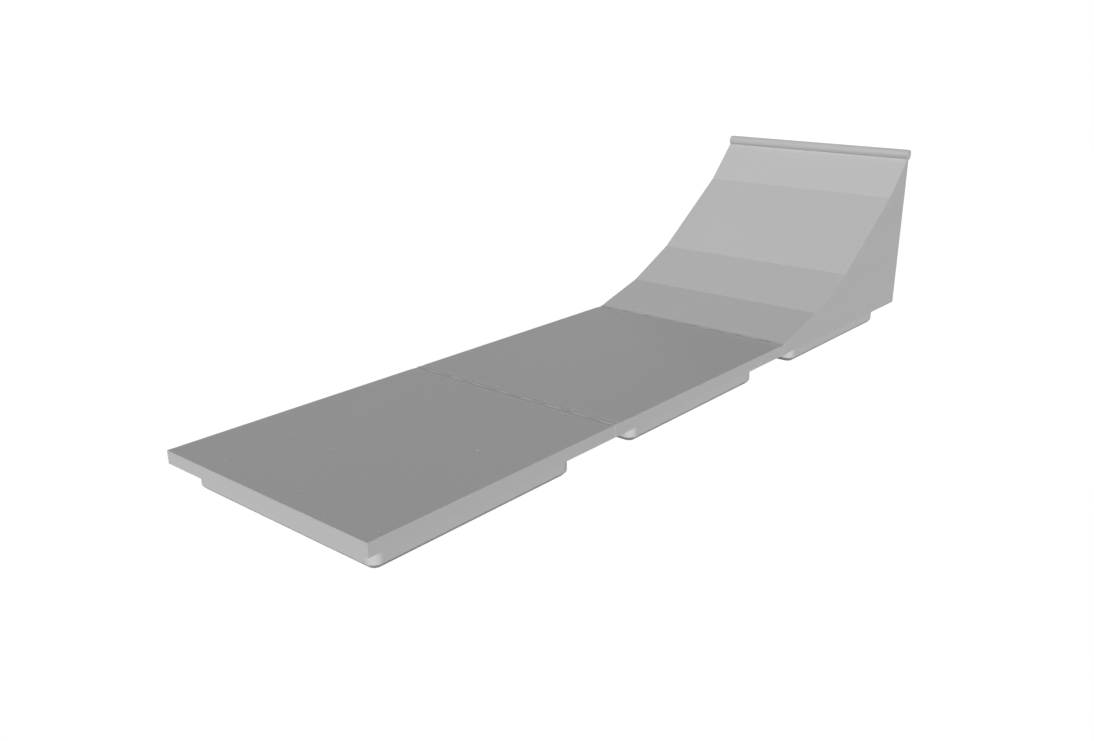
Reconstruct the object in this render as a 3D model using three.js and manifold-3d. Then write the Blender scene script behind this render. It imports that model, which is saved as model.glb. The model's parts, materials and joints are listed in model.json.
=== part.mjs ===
// Portable fold-up skate ramp: a run-up deck in two hinged sections and a faceted quarter pipe,
// each section standing on a moulded base pod. Millimetres, +Z up.
// The geometry is drawn with x = 0 at the deck's front edge, y = 0 on the centre line and z = 0 on
// the ground; the exported group then moves its origin to the middle of the length.
import * as THREE from 'three';
import { mergeVertices } from 'three/addons/utils/BufferGeometryUtils.js';
import Module from 'manifold-3d';

const wasm = await Module();
wasm.setup();

// ---- Driving dimensions ----

const rampWidth = 914;
const deckLength = 2118; // front edge to the foot of the transition

const sheetThickness = 5.5; // riding sheets and transition panels
const battenSize = 38; // square framing timber
const boardThickness = 18; // templates and centre rib of the quarter pipe
const fitGap = 0.3; // clearance between fitted pieces
const seamGap = 2; // between the sections at a fold

const footPanelLength = 269.2; // the panels' lengths along the riding surface
const lowPanelLength = 269.5;
const highPanelLength = 473.7;
const topPanelLength = 218;
// Transition panels from the foot up, with their slopes in degrees.
const panels = [
  { length: footPanelLength, slope: 15.8 },
  { length: lowPanelLength, slope: 25.4 },
  { length: highPanelLength, slope: 35.1 },
  { length: topPanelLength, slope: 45.9 },
];
const lipDepth = 12; // from the last panel's upper edge to the back
const copingRailDepth = 60;
const backRailHeight = 250; // underside of the middle back rail above the riding surface

const copingDiameter = 44.5;
const copingWall = 3.2;
const copingSink = 8.6; // depth of the tube's seat below the last panel's upper edge
const copingScrews = 3;
const copingScrewPitch = 290;
const copingScrewLean = 14; // degrees from upright, so that the screws run down inside the rail
const screwDiameter = 6;
const screwHeadDiameter = 12;
const screwHeadHeight = 3.5;
const screwLength = 42;
const accessHoleDiameter = 16;

const podLength = 802;
const podSideInset = 51.5; // from each side of the ramp
const podHeight = 86;
const podCornerRadius = 34;
const podBottomChamfer = 15;
const podWall = 5;
const podFloor = 6;
const podRib = 4;
const podRibDrop = 0.5; // ribs and bosses stop this far below the rim
const podFlangeWidth = 18;
const podFlangeThickness = 5;
const podBossDiameter = 28;
const podBossBore = 18;
const podBossHole = 7;
const podBossLand = 12; // material left above the counterbore
const podGrooveWidth = 26;
const podGrooveDepth = 2.5;
const podGrooveLength = 470;
const podGroovePitch = 90;
const frontPodSetback = 54; // front edge to the front pod
const middlePodSetback = 144; // middle pod to the foot of the transition
const quarterPodSetback = 85; // quarter pod to the back of the quarter pipe

const stripLength = 640;
const stripWidth = 40;
const stripThickness = 5;
const stripSeat = 2; // depth of the seat in the pod's underside
const stripSetback = 60; // end of the pod to the strip

const hingeAxisRise = 0.8; // pin centre above the riding surface
const hingeBarrelRadius = 2.7;
const hingePinRadius = 1.4;
const hingeLeafWidth = 25;
const hingeLeafThickness = 1.2;
const hingeLeafGap = 0.4; // from a barrel to the other leaf's edge
const hingeGrooveGap = 0.5; // from a barrel to the groove in the sheets
const hingeTabStep = 0.1; // the tabs under the knuckles are this much thinner on each face
const hingeEndInset = 3; // the hinge stops short of the ramp's sides
const hingeKnuckles = 16;

const roundSegments = 32;
const smallSegments = 12;

// ---- Levels and stations that follow from them ----

const halfWidth = rampWidth / 2;
const podBottom = stripThickness - stripSeat;
const podTop = podBottom + podHeight;
const frameTop = podTop + battenSize;
const deckTop = frameTop + sheetThickness;
const hingeAxisHeight = deckTop + hingeAxisRise;

const podWidth = rampWidth - 2 * podSideInset;

// ---- Plane geometry: points are [x, z] ----

const radians = (degrees) => (degrees * Math.PI) / 180;
const alongPanel = (panel) => [Math.cos(radians(panel.slope)), Math.sin(radians(panel.slope))];
const abovePanel = (panel) => [-Math.sin(radians(panel.slope)), Math.cos(radians(panel.slope))];
const shifted = ([x, z], [dx, dz], distance) => [x + dx * distance, z + dz * distance];

// The riding line of the transition: the foot, each crease and the top edge.
const ridingLine = [[deckLength, deckTop]];
for (const panel of panels) {
  ridingLine.push(shifted(ridingLine.at(-1), alongPanel(panel), panel.length));
}
const [topEdgeX, lipHeight] = ridingLine.at(-1);
const backX = topEdgeX + lipDepth;
const quarterFront = deckLength + seamGap / 2;

const podCentres = {
  front: frontPodSetback + podLength / 2,
  middle: deckLength - middlePodSetback - podLength / 2,
  quarter: backX - quarterPodSetback - podLength / 2,
};
// The front fold's seam is midway between the first two pods, so that they fold onto each other.
const frontSectionLength = (podCentres.front + podCentres.middle) / 2;

// Height of a line at a given depth under one panel, at x.
function heightUnderPanel(index, depth, x) {
  const [startX, startZ] = ridingLine[index];
  const slope = radians(panels[index].slope);
  return startZ + (x - startX) * Math.tan(slope) - depth / Math.cos(slope);
}

// Distance along x from the riding line's top edge to where the line at this depth meets height z.
function xUnderTopPanel(depth, z) {
  const slope = radians(panels.at(-1).slope);
  return topEdgeX + (z - lipHeight) / Math.tan(slope) + depth / Math.sin(slope);
}

// The riding line moved into the structure by a depth: mitred at each crease, cut upright at the
// section's front and level at the lip.
function lineUnderPanels(depth) {
  const points = [[quarterFront, heightUnderPanel(0, depth, quarterFront)]];
  for (let i = 1; i < panels.length; i += 1) {
    const bend = radians(panels[i].slope - panels[i - 1].slope);
    const middle = { slope: (panels[i].slope + panels[i - 1].slope) / 2 };
    points.push(shifted(ridingLine[i], abovePanel(middle), -depth / Math.cos(bend / 2)));
  }
  points.push([xUnderTopPanel(depth, lipHeight), lipHeight]);
  return points;
}

// A convex outline, listed anticlockwise, moved outwards on every side.
function grown(outline, distance) {
  return outline.map((point, i) => {
    const before = outline[(i + outline.length - 1) % outline.length];
    const after = outline[(i + 1) % outline.length];
    const into = new THREE.Vector2(point[0] - before[0], point[1] - before[1]).normalize();
    const away = new THREE.Vector2(after[0] - point[0], after[1] - point[1]).normalize();
    const outwards = new THREE.Vector2(into.y + away.y, -into.x - away.x);
    const reach = distance / (1 + into.dot(away));
    return [point[0] + outwards.x * reach, point[1] + outwards.y * reach];
  });
}

const rectangle = (left, right, bottom, top) => [[left, bottom], [right, bottom], [right, top], [left, top]];

// ---- Solids ----

function toSolid(geometry) {
  const bare = geometry.clone();
  bare.deleteAttribute('normal');
  bare.deleteAttribute('uv');
  const merged = mergeVertices(bare, 1e-4);
  return new wasm.Manifold(new wasm.Mesh({
    numProp: 3,
    vertProperties: new Float32Array(merged.attributes.position.array),
    triVerts: new Uint32Array(merged.index.array),
  }));
}

function toGeometry(solid) {
  const mesh = solid.getMesh();
  const geometry = new THREE.BufferGeometry();
  geometry.setAttribute('position', new THREE.BufferAttribute(new Float32Array(mesh.vertProperties), 3));
  geometry.setIndex(new THREE.BufferAttribute(new Uint32Array(mesh.triVerts), 1));
  geometry.computeVertexNormals();
  return geometry;
}

// An outline in x and z, carried across the ramp from yLow to yHigh.
function across(outline, yLow, yHigh) {
  const shape = new THREE.Shape(outline.map(([x, z]) => new THREE.Vector2(x, z)));
  const geometry = new THREE.ExtrudeGeometry(shape, { depth: yHigh - yLow, bevelEnabled: false });
  geometry.rotateX(Math.PI / 2);
  geometry.translate(0, yHigh, 0);
  return geometry;
}

function cylinderAcross(radius, x, z, yLow, yHigh, segments = roundSegments) {
  const geometry = new THREE.CylinderGeometry(radius, radius, yHigh - yLow, segments);
  geometry.translate(x, (yLow + yHigh) / 2, z);
  return geometry;
}

function uprightCylinder(radius, x, y, zLow, zHigh, segments = smallSegments) {
  const geometry = new THREE.CylinderGeometry(radius, radius, zHigh - zLow, segments);
  geometry.rotateX(Math.PI / 2);
  geometry.translate(x, y, (zLow + zHigh) / 2);
  return geometry;
}

function block(xLow, xHigh, yLow, yHigh, zLow, zHigh) {
  const geometry = new THREE.BoxGeometry(xHigh - xLow, yHigh - yLow, zHigh - zLow);
  geometry.translate((xLow + xHigh) / 2, (yLow + yHigh) / 2, (zLow + zHigh) / 2);
  return geometry;
}

// A rectangle with round corners, seen from above; each corner is an arc of a few segments.
function roundedRectangle(length, width, radius, segments) {
  const corners = [[1, 1, 0], [-1, 1, 1], [-1, -1, 2], [1, -1, 3]];
  const points = corners.flatMap(([sideX, sideY, quarter]) => Array.from({ length: segments + 1 }, (_, i) => {
    const bearing = (Math.PI / 2) * (quarter + i / segments);
    return new THREE.Vector2(
      sideX * (length / 2 - radius) + radius * Math.cos(bearing),
      sideY * (width / 2 - radius) + radius * Math.sin(bearing),
    );
  }));
  const apart = (point, i) => point.distanceTo(points.at(i - 1)) > fitGap;
  return new THREE.Shape(points.filter(apart));
}

function slab(shape, x, y, zLow, zHigh) {
  const geometry = new THREE.ExtrudeGeometry(shape, { depth: zHigh - zLow, bevelEnabled: false });
  geometry.translate(x, y, zLow);
  return geometry;
}

// ---- Finishes ----

const finishes = {
  riding: new THREE.MeshStandardMaterial({ color: 0xcbcbcc, roughness: 0.6, metalness: 0 }),
  panel: new THREE.MeshStandardMaterial({ color: 0xcecece, roughness: 0.6, metalness: 0 }),
  timber: new THREE.MeshStandardMaterial({ color: 0xcecece, roughness: 0.65, metalness: 0 }),
  pod: new THREE.MeshStandardMaterial({ color: 0xd1d1d1, roughness: 0.5, metalness: 0 }),
  rubber: new THREE.MeshStandardMaterial({ color: 0x3a3a3a, roughness: 0.9, metalness: 0 }),
  tube: new THREE.MeshStandardMaterial({ color: 0xc5c5c5, roughness: 0.45, metalness: 0.25 }),
  steel: new THREE.MeshStandardMaterial({ color: 0xaaaaab, roughness: 0.45, metalness: 0.35 }),
};

function piece(name, geometry, finish) {
  const mesh = new THREE.Mesh(geometry, finishes[finish]);
  mesh.name = name;
  return mesh;
}

// ---- Base pods ----

// The screw bosses under the middle joists: each post, its counterbore from below and its screw hole.
function podBosses(centreX) {
  const places = [[-1, -1], [-1, 1], [1, -1], [1, 1]];
  return places.map(([end, side]) => {
    const [x, y] = [centreX + (end * podLength) / 6, (side * podWidth) / 3];
    return {
      post: uprightCylinder(podBossDiameter / 2, x, y, podBottom + podFloor / 2, podTop - 2 * podRibDrop),
      bore: uprightCylinder(podBossBore / 2, x, y, podBottom - 1, podTop - podBossLand),
      hole: uprightCylinder(podBossHole / 2, x, y, podBottom, podTop + 1),
    };
  });
}

// Stiffening ribs inside a pod, under the joists and lengthwise between them.
function podRibs(centreX) {
  const [halfLength, halfPod] = [podLength / 2 - podWall / 2, podWidth / 2 - podWall / 2];
  const [floor, top] = [podBottom + podFloor / 2, podTop - podRibDrop];
  return [-1, 1].flatMap((side) => {
    const [x, y] = [centreX + (side * podLength) / 6, (side * podWidth) / 6];
    return [
      block(x - podRib / 2, x + podRib / 2, -halfPod, halfPod, floor, top),
      block(
        centreX - halfLength, centreX + halfLength, y - podRib / 2, y + podRib / 2, floor - 1, top - 1,
      ),
    ];
  });
}

const stripStations = (centreX) => [-1, 1].map(
  (end) => centreX + end * (podLength / 2 - stripSetback - stripWidth / 2),
);

// The tub's own outline moved this far into its walls and its floor: rounded corners, a chamfer round
// the bottom that keeps the same distance, and a level top.
function tub(centreX, wall, floor, segments, zHigh) {
  const shape = roundedRectangle(podLength - 2 * wall, podWidth - 2 * wall, podCornerRadius - wall, segments);
  const chamfer = podBottomChamfer + Math.SQRT2 * wall - wall - floor;
  const zLow = podBottom + floor;
  const geometry = new THREE.ExtrudeGeometry(shape, {
    depth: zHigh - zLow,
    bevelEnabled: true,
    bevelThickness: chamfer,
    bevelSize: chamfer,
    bevelOffset: -chamfer,
    bevelSegments: 1,
  });
  geometry.translate(centreX, 0, zLow + chamfer);
  const above = block(centreX - podLength, centreX + podLength, -podWidth, podWidth, zHigh, zHigh + podHeight);
  return toSolid(geometry).subtract(toSolid(above));
}

// The moulded pod: a tub with ribs, screw bosses, an inward flange and an open top.
function podBody(centreX) {
  const mouth = roundedRectangle(
    podLength - 2 * (podWall + podFlangeWidth),
    podWidth - 2 * (podWall + podFlangeWidth),
    Math.max(podCornerRadius - podWall - podFlangeWidth, 1),
    2,
  );
  const opening = slab(mouth, centreX, 0, podTop - podFlangeThickness - 1, podTop + 1);
  const groove = roundedRectangle(podGrooveLength, podGrooveWidth, podGrooveWidth / 2, 3);

  let body = tub(centreX, 0, 0, 6, podTop);
  body = body.subtract(tub(centreX, podWall, podFloor, 4, podTop - podFlangeThickness));
  body = body.subtract(toSolid(opening));
  const ribLimit = tub(centreX, podWall / 2, podFloor / 2, 4, podTop);
  for (const rib of podRibs(centreX)) {
    body = body.add(toSolid(rib).intersect(ribLimit));
  }
  const bosses = podBosses(centreX);
  for (const boss of bosses) {
    body = body.add(toSolid(boss.post));
  }
  for (const boss of bosses) {
    body = body.subtract(toSolid(boss.bore)).subtract(toSolid(boss.hole));
  }
  for (const row of [-2, -1, 1, 2]) {
    const y = row * podGroovePitch;
    body = body.subtract(toSolid(slab(groove, centreX, y, podBottom - 1, podBottom + podGrooveDepth)));
  }
  const seat = roundedRectangle(stripWidth + 2 * fitGap, stripLength + 2 * fitGap, stripWidth / 2 + fitGap, 4);
  for (const x of stripStations(centreX)) {
    body = body.subtract(toSolid(slab(seat, x, 0, podBottom - 1, podBottom + stripSeat)));
  }
  return toGeometry(body);
}

function podPieces(section, centreX) {
  const strip = roundedRectangle(stripWidth, stripLength, stripWidth / 2, 4);
  return [
    piece(`${section}_pod`, podBody(centreX), 'pod'),
    ...stripStations(centreX).map((x, i) => piece(
      `${section}_pod_strip_${i + 1}`,
      slab(strip, x, 0, 0, stripThickness),
      'rubber',
    )),
  ];
}

// Where the timbers over a pod lie: flush with its ends and over its two cross ribs.
const timberStations = (centreX) => [-1, -1 / 3, 1 / 3, 1].map((share) => (
  centreX + share * (Math.abs(share) === 1 ? podLength / 2 - battenSize / 2 : podLength / 2)
));

// ---- Continuous hinges ----

const grooveRadius = hingeBarrelRadius + hingeGrooveGap;

// Points on the groove that clears the barrel, from one bearing to another, about the pin.
function barrelGroove(axisX, from, to) {
  const steps = 4;
  return Array.from({ length: steps + 1 }, (_, i) => {
    const bearing = from + ((to - from) * i) / steps;
    return [axisX + grooveRadius * Math.cos(bearing), hingeAxisHeight + grooveRadius * Math.sin(bearing)];
  });
}

// Bearing of the groove's point straight under the end of a section, on its front (-1) or rear (1) side.
const grooveEndBearing = (side) => -Math.PI / 2 + side * Math.asin(seamGap / 2 / grooveRadius);
// Bearing where the groove meets a leaf's seat of this depth below the pin, on a level sheet.
const grooveSeatBearing = (side, depth) => -Math.PI / 2 + side * Math.acos(depth / grooveRadius);

// One leaf with its share of the knuckles, drawn about the pin at [0, 0] with the plate towards +x,
// and its top this far below the pin.
function hingeLeaf(plateTop, firstKnuckle) {
  const length = rampWidth - 2 * hingeEndInset;
  const pitch = length / hingeKnuckles;
  const start = -length / 2;
  const plateStart = hingeBarrelRadius + hingeLeafGap;
  const bore = hingePinRadius + fitGap;
  const plate = rectangle(plateStart, hingeLeafWidth, -plateTop - hingeLeafThickness, -plateTop);
  // The tab ends in the middle of the barrel's wall, at the plate's mid level.
  const tabStart = Math.sqrt(
    ((bore + hingeBarrelRadius) / 2) ** 2 - (plateTop + hingeLeafThickness / 2) ** 2,
  );
  const tab = rectangle(
    tabStart, plateStart + 1, -plateTop - hingeLeafThickness + hingeTabStep, -plateTop - hingeTabStep,
  );

  let leaf = toSolid(across(plate, start, -start));
  for (let i = firstKnuckle; i < hingeKnuckles; i += 2) {
    const yLow = start + i * pitch + fitGap / 2;
    const yHigh = start + (i + 1) * pitch - fitGap / 2;
    const tabSolid = toSolid(across(tab, yLow, yHigh));
    const barrel = toSolid(cylinderAcross(hingeBarrelRadius, 0, 0, yLow, yHigh, smallSegments));
    const hole = toSolid(cylinderAcross(bore, 0, 0, yLow - 1, yHigh + 1, smallSegments));
    leaf = leaf.add(tabSolid).add(barrel).subtract(hole);
  }
  return toGeometry(leaf);
}

function hingePieces(name, axisX, rearSlope) {
  const half = halfWidth - hingeEndInset;
  const frontLeaf = hingeLeaf(hingeAxisRise, 0);
  frontLeaf.rotateZ(Math.PI);
  const rearLeaf = hingeLeaf(hingeAxisRise * Math.cos(radians(rearSlope)), 0);
  rearLeaf.rotateY(-radians(rearSlope));
  const pin = cylinderAcross(hingePinRadius, 0, 0, -half, half, smallSegments);
  return [
    [`${name}_leaf_1`, frontLeaf],
    [`${name}_leaf_2`, rearLeaf],
    [`${name}_pin`, pin],
  ].map(([pieceName, geometry]) => {
    const mesh = piece(pieceName, geometry, 'steel');
    mesh.position.set(axisX, 0, hingeAxisHeight);
    return mesh;
  });
}

// ---- Deck sections ----

// Outline of a sheet's end that is let in for a hinge leaf, on the front (-1) or rear (1) side of the
// pin, from the sheet's underside up to its riding surface.
function sheetEnd(axisX, side) {
  const seatDepth = hingeAxisRise + hingeLeafThickness;
  const groove = barrelGroove(axisX, grooveEndBearing(side), grooveSeatBearing(side, seatDepth));
  const seatEnd = axisX + side * (hingeLeafWidth + fitGap);
  return [
    [axisX + (side * seamGap) / 2, frameTop],
    ...groove,
    [seatEnd, deckTop - hingeLeafThickness],
    [seatEnd, deckTop],
  ];
}

function deckSection(section, xLow, xHigh, podCentre, sheetOutline) {
  const inner = halfWidth - battenSize;
  const pieces = [piece(`${section}_sheet`, across(sheetOutline, -halfWidth, halfWidth), 'riding')];
  for (const [side, yLow] of [['near', -halfWidth], ['far', inner]]) {
    const rail = block(xLow, xHigh, yLow, yLow + battenSize, podTop, frameTop);
    pieces.push(piece(`${section}_side_rail_${side}`, rail, 'timber'));
  }
  const ends = [['front', xLow], ['rear', xHigh - battenSize]];
  for (const [end, x] of ends) {
    const rail = block(x, x + battenSize, -inner, inner, podTop, frameTop);
    pieces.push(piece(`${section}_end_rail_${end}`, rail, 'timber'));
  }
  timberStations(podCentre).forEach((x, i) => {
    const joist = block(x - battenSize / 2, x + battenSize / 2, -inner, inner, podTop, frameTop);
    pieces.push(piece(`${section}_joist_${i + 1}`, joist, 'timber'));
  });
  pieces.push(...podPieces(section, podCentre));
  return pieces;
}

function frontSection() {
  const outline = [
    [0, deckTop],
    [0, frameTop],
    ...sheetEnd(frontSectionLength, -1),
  ];
  return deckSection('front', 0, frontSectionLength - seamGap / 2, podCentres.front, outline);
}

function middleSection() {
  const outline = [
    ...sheetEnd(frontSectionLength, 1).reverse(),
    ...sheetEnd(deckLength, -1),
  ];
  const xLow = frontSectionLength + seamGap / 2;
  const xHigh = deckLength - seamGap / 2;
  return deckSection('middle', xLow, xHigh, podCentres.middle, outline);
}

// ---- Quarter pipe ----

const copingRadius = copingDiameter / 2;
const copingX = backX;
const copingZ = lipHeight + copingRadius - copingSink;

const copingSeat = () => toSolid(cylinderAcross(copingRadius + fitGap, copingX, copingZ, -rampWidth, rampWidth));

const withCopingSeat = (geometry) => toGeometry(toSolid(geometry).subtract(copingSeat()));

// The four flat panels, mitred where they meet; the first is let in for the hinge leaf.
function transitionPanels() {
  const under = lineUnderPanels(sheetThickness);
  const first = panels[0];
  const onFirst = (distance, depth) => (
    shifted(shifted(ridingLine[0], alongPanel(first), distance), abovePanel(first), -depth)
  );
  const slope = radians(first.slope);
  const seatDepth = hingeLeafThickness + fitGap;
  const pinAbovePanel = hingeAxisRise * Math.cos(slope);
  const seatBearing = grooveSeatBearing(1, pinAbovePanel + seatDepth) + slope;
  const seatEnd = hingeLeafWidth + hingeAxisRise * Math.sin(slope) + fitGap;

  return panels.map((_, i) => {
    const outline = i === 0
      ? [
        ...barrelGroove(deckLength, grooveEndBearing(1), seatBearing),
        onFirst(seatEnd, seatDepth),
        onFirst(seatEnd, 0),
        ridingLine[1],
        under[1],
        under[0],
      ]
      : [ridingLine[i], ridingLine[i + 1], under[i + 1], under[i]];
    const panel = across(outline, -halfWidth, halfWidth);
    const geometry = i === panels.length - 1 ? withCopingSeat(panel) : panel;
    return piece(`transition_panel_${i + 1}`, geometry, i === 0 ? 'riding' : 'panel');
  });
}

// A timber under a crease, its top bevelled to both panels.
function creaseJoistOutline(index) {
  const [before, after] = [panels[index - 1], panels[index]];
  const middle = { slope: (before.slope + after.slope) / 2 };
  const crease = lineUnderPanels(sheetThickness + fitGap)[index];
  const low = shifted(crease, alongPanel(before), -battenSize / 2);
  const high = shifted(crease, alongPanel(after), battenSize / 2);
  const down = abovePanel(middle);
  return [shifted(low, down, -battenSize), shifted(high, down, -battenSize), high, crease, low];
}

// A timber under the middle of one panel.
function panelJoistOutline(index) {
  const panel = panels[index];
  const middle = shifted(ridingLine[index], alongPanel(panel), panel.length / 2);
  const top = shifted(middle, abovePanel(panel), -sheetThickness - fitGap);
  const low = shifted(top, alongPanel(panel), -battenSize / 2);
  const high = shifted(top, alongPanel(panel), battenSize / 2);
  const down = abovePanel(panel);
  return [shifted(low, down, -battenSize), shifted(high, down, -battenSize), high, low];
}

// Every timber that crosses the quarter pipe: its name and its outline.
function crossTimbers() {
  const depth = sheetThickness + fitGap;
  const footEnd = quarterFront + battenSize;
  const backStart = backX - battenSize;
  const railBottom = lipHeight - copingRailDepth;
  const timbers = [
    ['foot_rail', [
      [quarterFront, podTop],
      [footEnd, podTop],
      [footEnd, heightUnderPanel(0, depth, footEnd)],
      [quarterFront, heightUnderPanel(0, depth, quarterFront)],
    ]],
    ['back_rail_low', rectangle(backStart, backX, podTop, frameTop)],
    ['back_rail_middle', rectangle(
      backStart, backX, deckTop + backRailHeight, deckTop + backRailHeight + battenSize,
    )],
    ['transition_joist_1', creaseJoistOutline(1)],
    ['transition_joist_2', creaseJoistOutline(2)],
    ['transition_joist_3', panelJoistOutline(2)],
    ['transition_joist_4', creaseJoistOutline(3)],
    ['coping_rail', [
      [xUnderTopPanel(depth, railBottom), railBottom],
      [backX, railBottom],
      [backX, lipHeight],
      [xUnderTopPanel(depth, lipHeight), lipHeight],
    ]],
  ];
  timberStations(podCentres.quarter).forEach((x, i) => {
    timbers.push([`base_rail_${i + 1}`, rectangle(x - battenSize / 2, x + battenSize / 2, podTop, frameTop)]);
  });
  return timbers;
}

// Outline of the side templates and the centre rib: level base, upright back, faceted front.
const templateOutline = () => [
  [quarterFront, podTop],
  [backX, podTop],
  [backX, lipHeight],
  ...lineUnderPanels(sheetThickness + fitGap).reverse(),
];

// The rib that stands in the middle, notched over every timber that it crosses.
function centreRib(timbers) {
  let rib = toSolid(across(templateOutline(), -boardThickness / 2, boardThickness / 2));
  rib = rib.subtract(copingSeat());
  for (const [, outline] of timbers) {
    rib = rib.subtract(toSolid(across(grown(outline, fitGap), -boardThickness, boardThickness)));
  }
  return toGeometry(rib);
}

// Leans a piece forward about the tube's axis, so that an upright one stays radial.
function leant(geometry) {
  geometry.translate(-copingX, 0, -copingZ);
  geometry.rotateY(THREE.MathUtils.degToRad(copingScrewLean));
  geometry.translate(copingX, 0, copingZ);
  return geometry;
}

const screwStations = () => Array.from(
  { length: copingScrews },
  (_, i) => (i - (copingScrews - 1) / 2) * copingScrewPitch,
);
const screwSeat = copingZ - copingRadius + copingWall;
// The flat head bears on the round wall along its two sides.
const copingBore = copingRadius - copingWall;
const screwHeadRise = copingBore - Math.sqrt(copingBore ** 2 - (screwHeadDiameter / 2) ** 2) + fitGap;

// Screw through the tube's lower wall: pan head, shank and point in one revolved profile.
function copingScrew(y) {
  const [shank, head] = [screwDiameter / 2, screwHeadDiameter / 2];
  const profile = [
    [0, -screwLength],
    [shank, -screwLength + screwDiameter],
    [shank, screwHeadRise],
    [head, screwHeadRise],
    [head, screwHeadRise + screwHeadHeight / 2],
    [head * 0.6, screwHeadRise + screwHeadHeight],
    [0, screwHeadRise + screwHeadHeight],
  ].map(([r, z]) => new THREE.Vector2(r, z));
  const geometry = new THREE.LatheGeometry(profile, smallSegments);
  geometry.rotateX(Math.PI / 2);
  geometry.translate(copingX, y, screwSeat);
  return leant(geometry);
}

// The tube is as long as the ramp is wide, and a welded disc closes each end.
function copingTube() {
  const boreEnd = halfWidth - copingWall;
  let tube = toSolid(cylinderAcross(copingRadius, copingX, copingZ, -halfWidth, halfWidth));
  tube = tube.subtract(toSolid(cylinderAcross(copingBore, copingX, copingZ, -boreEnd, boreEnd)));
  for (const y of screwStations()) {
    const clearance = screwDiameter / 2 + fitGap;
    const hole = uprightCylinder(clearance, copingX, y, copingZ - copingDiameter, copingZ);
    const access = uprightCylinder(accessHoleDiameter / 2, copingX, y, copingZ, copingZ + copingDiameter);
    tube = tube.subtract(toSolid(leant(hole))).subtract(toSolid(leant(access)));
  }
  return toGeometry(tube);
}

function copingRailBody(outline, inner) {
  let rail = toSolid(across(outline, -inner, inner)).subtract(copingSeat());
  for (const y of screwStations()) {
    const clearance = screwDiameter / 2 + fitGap;
    const bottom = screwSeat - screwLength - fitGap;
    rail = rail.subtract(toSolid(leant(uprightCylinder(clearance, copingX, y, bottom, copingZ))));
  }
  return toGeometry(rail);
}

function quarterSection() {
  const inner = halfWidth - boardThickness;
  const timbers = crossTimbers();
  const pieces = transitionPanels();
  for (const [side, yLow] of [['near', -halfWidth], ['far', inner]]) {
    const template = withCopingSeat(across(templateOutline(), yLow, yLow + boardThickness));
    pieces.push(piece(`template_${side}`, template, 'panel'));
  }
  pieces.push(piece('centre_rib', centreRib(timbers), 'timber'));
  for (const [name, outline] of timbers) {
    const geometry = name === 'coping_rail'
      ? copingRailBody(outline, inner)
      : across(outline, -inner, inner);
    pieces.push(piece(name, geometry, 'timber'));
  }
  pieces.push(piece('coping', copingTube(), 'tube'));
  screwStations().forEach((y, i) => {
    pieces.push(piece(`coping_screw_${i + 1}`, copingScrew(y), 'steel'));
  });
  pieces.push(...podPieces('quarter', podCentres.quarter));
  return pieces;
}

// ---- Assembly ----

const ramp = new THREE.Group();
ramp.name = 'fold_up_ramp';
ramp.add(
  ...frontSection(),
  ...hingePieces('front_hinge', frontSectionLength, 0),
  ...middleSection(),
  ...hingePieces('rear_hinge', deckLength, panels[0].slope),
  ...quarterSection(),
);
const overallLength = copingX + copingRadius;
ramp.position.x = -overallLength / 2;

export default ramp;
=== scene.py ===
"""Looks of the fold-up skate ramp: riding sheets, boards, moulded pods, coping, hinges, screws and stage."""
import json
import math

import bmesh
import bpy
import numpy as np
from bpy.props import FloatProperty, FloatVectorProperty, IntProperty, PointerProperty
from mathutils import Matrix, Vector


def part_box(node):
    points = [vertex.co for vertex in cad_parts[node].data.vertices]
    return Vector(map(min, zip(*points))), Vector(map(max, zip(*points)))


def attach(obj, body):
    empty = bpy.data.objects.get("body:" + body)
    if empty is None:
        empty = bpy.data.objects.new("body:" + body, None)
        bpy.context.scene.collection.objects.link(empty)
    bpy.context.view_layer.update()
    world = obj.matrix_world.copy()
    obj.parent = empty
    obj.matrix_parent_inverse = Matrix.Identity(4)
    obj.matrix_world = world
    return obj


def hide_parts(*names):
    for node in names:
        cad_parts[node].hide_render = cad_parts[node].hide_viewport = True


bl_info = {
    "name": "Fold-up skate ramp",
    "version": (1, 0, 0),
    "blender": (4, 5, 0),
    "location": "View3D > Sidebar > Ramp",
    "description": "Finishes and details of a fold-up skate ramp on moulded pods",
    "category": "Object",
}

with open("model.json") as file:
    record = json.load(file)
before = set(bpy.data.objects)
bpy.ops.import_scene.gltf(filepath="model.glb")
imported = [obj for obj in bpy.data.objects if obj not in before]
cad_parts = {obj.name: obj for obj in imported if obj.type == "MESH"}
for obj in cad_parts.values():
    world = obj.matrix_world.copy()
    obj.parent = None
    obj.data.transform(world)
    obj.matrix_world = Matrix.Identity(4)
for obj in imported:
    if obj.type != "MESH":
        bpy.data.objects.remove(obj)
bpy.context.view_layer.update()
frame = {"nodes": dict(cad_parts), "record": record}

FRONT, MIDDLE, QUARTER = "front_section", "middle_section", "quarter_section"
DECKS = {"front": FRONT, "middle": MIDDLE}
PODS = {"front": FRONT, "middle": MIDDLE, "quarter": QUARTER}
PANELS = [f"transition_panel_{i}" for i in (1, 2, 3, 4)]
LONG_PANEL = PANELS[2]
UP, DOWN, ACROSS = (0, 0, 1), (0, 0, -1), (0, 1, 0)
WHITE = (1, 1, 1, 1)
MERGE = 1e-5  # points nearer than this, in metres, count as one
SIDES = {"screw": 12, "countersink": 20, "fitting": 24, "drill": 32, "post": 40}  # of round details


# ---- Settings ----

def length(name, text, default):
    """A size in metres with its name and description."""
    return FloatProperty(name=name, description=text, default=default, min=0,
                         subtype="DISTANCE", unit="LENGTH")


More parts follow.
